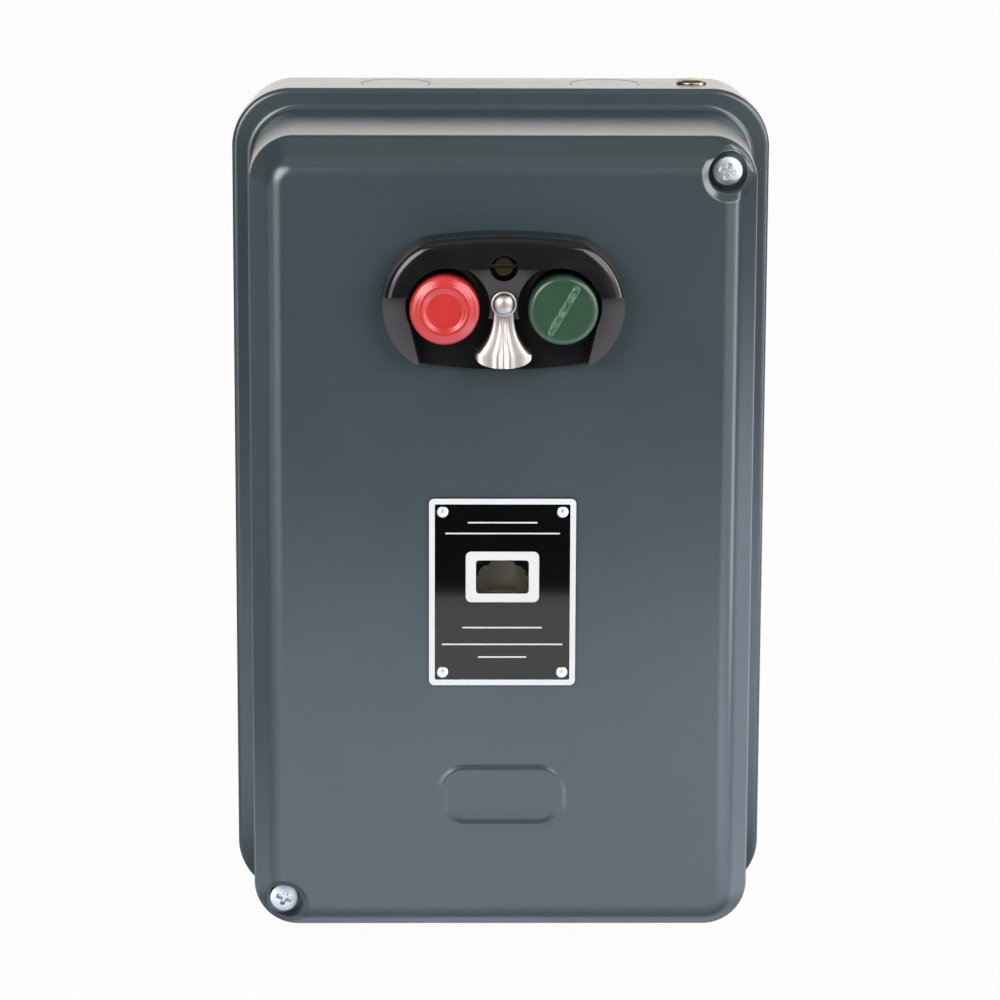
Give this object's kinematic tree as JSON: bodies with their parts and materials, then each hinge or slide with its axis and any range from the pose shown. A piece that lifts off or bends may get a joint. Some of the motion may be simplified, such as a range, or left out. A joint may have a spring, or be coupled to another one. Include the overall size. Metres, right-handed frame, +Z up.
{
  "type": "magnetic motor starter",
  "caption": "Wall-mounted direct-on-line motor starter: pressed-steel box with a deep lift-off cover, stop and start push-buttons, swinging lever and dial window over a contactor and relay.",
  "frame": {"origin": "middle of the four-hole wall pattern, on the wall plane at the back of the pads", "axes": "+Z up the wall, +X to the right seen from the front, front faces -Y, +Y into the wall"},
  "size_m": [0.16, 0.1202, 0.2518],
  "materials": {
    "paint": "semi-gloss dark blue-grey stove enamel",
    "gasket_rubber": "matt black sponge rubber",
    "zinc": "bright zinc-plated steel",
    "galvanised": "galvanised sheet",
    "brass": "plain brass",
    "copper": "plain copper",
    "bakelite_brown": "moulded brown phenolic",
    "bakelite_black": "moulded black phenolic",
    "grey_plastic": "moulded dark grey plastic",
    "ivory_plastic": "moulded ivory plastic",
    "lamination": "stacked core steel",
    "coil_tape": "varnished tape over the winding",
    "spring_steel": "drawn spring wire",
    "bimetal": "heat-tinted bimetal strip",
    "red_plastic": "moulded red plastic",
    "green_plastic": "moulded green plastic",
    "chrome": "nickel-plated pressing",
    "clear_pane": "clear acrylic",
    "plate_black": "gloss black printed aluminium with white lines",
    "wire_red": "insulated control wire"
  },
  "bodies": {
    "enclosure": {"enclosure_box": "paint", "knockout_blanks": "paint", "earth_screws": "brass", "earth_washers": "brass", "earth_nuts": "brass", "cover_pillars": "zinc", "cover_gasket": "gasket_rubber", "chassis_plate": "galvanised", "chassis_screws": "zinc", "unit_screws": "zinc", "contactor_base": "bakelite_brown", "magnet_yoke": "lamination", "shading_rings": "copper", "coil_bobbin": "ivory_plastic", "coil_winding": "coil_tape", "coil_terminals": "brass", "contact_deck": "bakelite_brown", "fixed_contacts": "copper", "main_terminal_screws": "zinc", "arc_hood": "bakelite_black", "arc_hood_screws": "zinc", "return_springs": "spring_steel", "control_block": "bakelite_black", "control_block_screws": "zinc", "control_contacts": "brass", "relay_case": "bakelite_black", "relay_front": "grey_plastic", "bimetal_heaters": "bimetal", "relay_strips": "copper", "relay_terminal_screws": "zinc", "relay_pins": "brass", "power_links": "copper", "control_wires": "wire_red"},
    "carrier": {"armature": "lamination", "contact_carrier": "bakelite_brown", "moving_contacts": "copper", "contact_springs": "spring_steel"},
    "start_rod": {"start_plunger": "green_plastic", "start_bridge": "brass"},
    "stop_rod": {"stop_plunger": "red_plastic", "stop_bridge": "brass"},
    "trip": {"trip_bar": "ivory_plastic"},
    "dial": {"setting_dial": "bakelite_brown"},
    "cover": {"cover": "paint", "cover_screws": "zinc", "nameplate": "plate_black", "nameplate_rivets": "zinc", "window_pane": "clear_pane", "button_housing": "bakelite_black", "housing_screw": "brass", "housing_clamp": "zinc", "lever_rivet": "chrome", "stop_spring": "spring_steel", "start_spring": "spring_steel"},
    "stop": {"stop_button": "red_plastic", "stop_clip": "zinc"},
    "start": {"start_button": "green_plastic", "start_clip": "zinc"},
    "lever": {"lock_lever": "chrome"}
  },
  "joints": [
    {"name": "cover_off", "type": "slide", "parent": "enclosure", "child": "cover", "axis": [0, -1, 0], "range_m": [0, 0.12]},
    {"name": "stop_push", "type": "slide", "parent": "cover", "child": "stop", "axis": [0, 1, 0], "range_m": [0, 0.0045], "stiffness_N_per_m": 500, "springref_m": -0.004, "deforming": ["stop_spring"]},
    {"name": "start_push", "type": "slide", "parent": "cover", "child": "start", "axis": [0, 1, 0], "range_m": [0, 0.0045], "stiffness_N_per_m": 500, "springref_m": -0.004, "deforming": ["start_spring"]},
    {"name": "lever_swing", "type": "hinge", "parent": "cover", "child": "lever", "pos_m": [0, -0.115, 0.073], "axis": [0, 1, 0], "range_deg": [-16, 16]},
    {"name": "carrier_pull_in", "type": "slide", "parent": "enclosure", "child": "carrier", "axis": [0, 1, 0], "range_m": [0, 0.005], "stiffness_N_per_m": 800, "springref_m": -0.006, "deforming": ["return_springs"]},
    {"name": "start_rod_push", "type": "slide", "parent": "enclosure", "child": "start_rod", "axis": [0, 1, 0], "range_m": [0, 0.0045]},
    {"name": "stop_rod_push", "type": "slide", "parent": "enclosure", "child": "stop_rod", "axis": [0, 1, 0], "range_m": [0, 0.0045]},
    {"name": "trip_slide", "type": "slide", "parent": "enclosure", "child": "trip", "axis": [1, 0, 0], "range_m": [0, 0.0025], "stiffness_N_per_m": 300, "springref_m": -0.002},
    {"name": "dial_turn", "type": "hinge", "parent": "enclosure", "child": "dial", "pos_m": [0, -0.095, -0.014], "axis": [0, -1, 0], "range_deg": [-120, 120]}
  ],
  "couplings": [
    {"joint": "start_rod_push", "follows": "start_push", "ratio": 1},
    {"joint": "stop_rod_push", "follows": "stop_push", "ratio": 1}
  ]
}
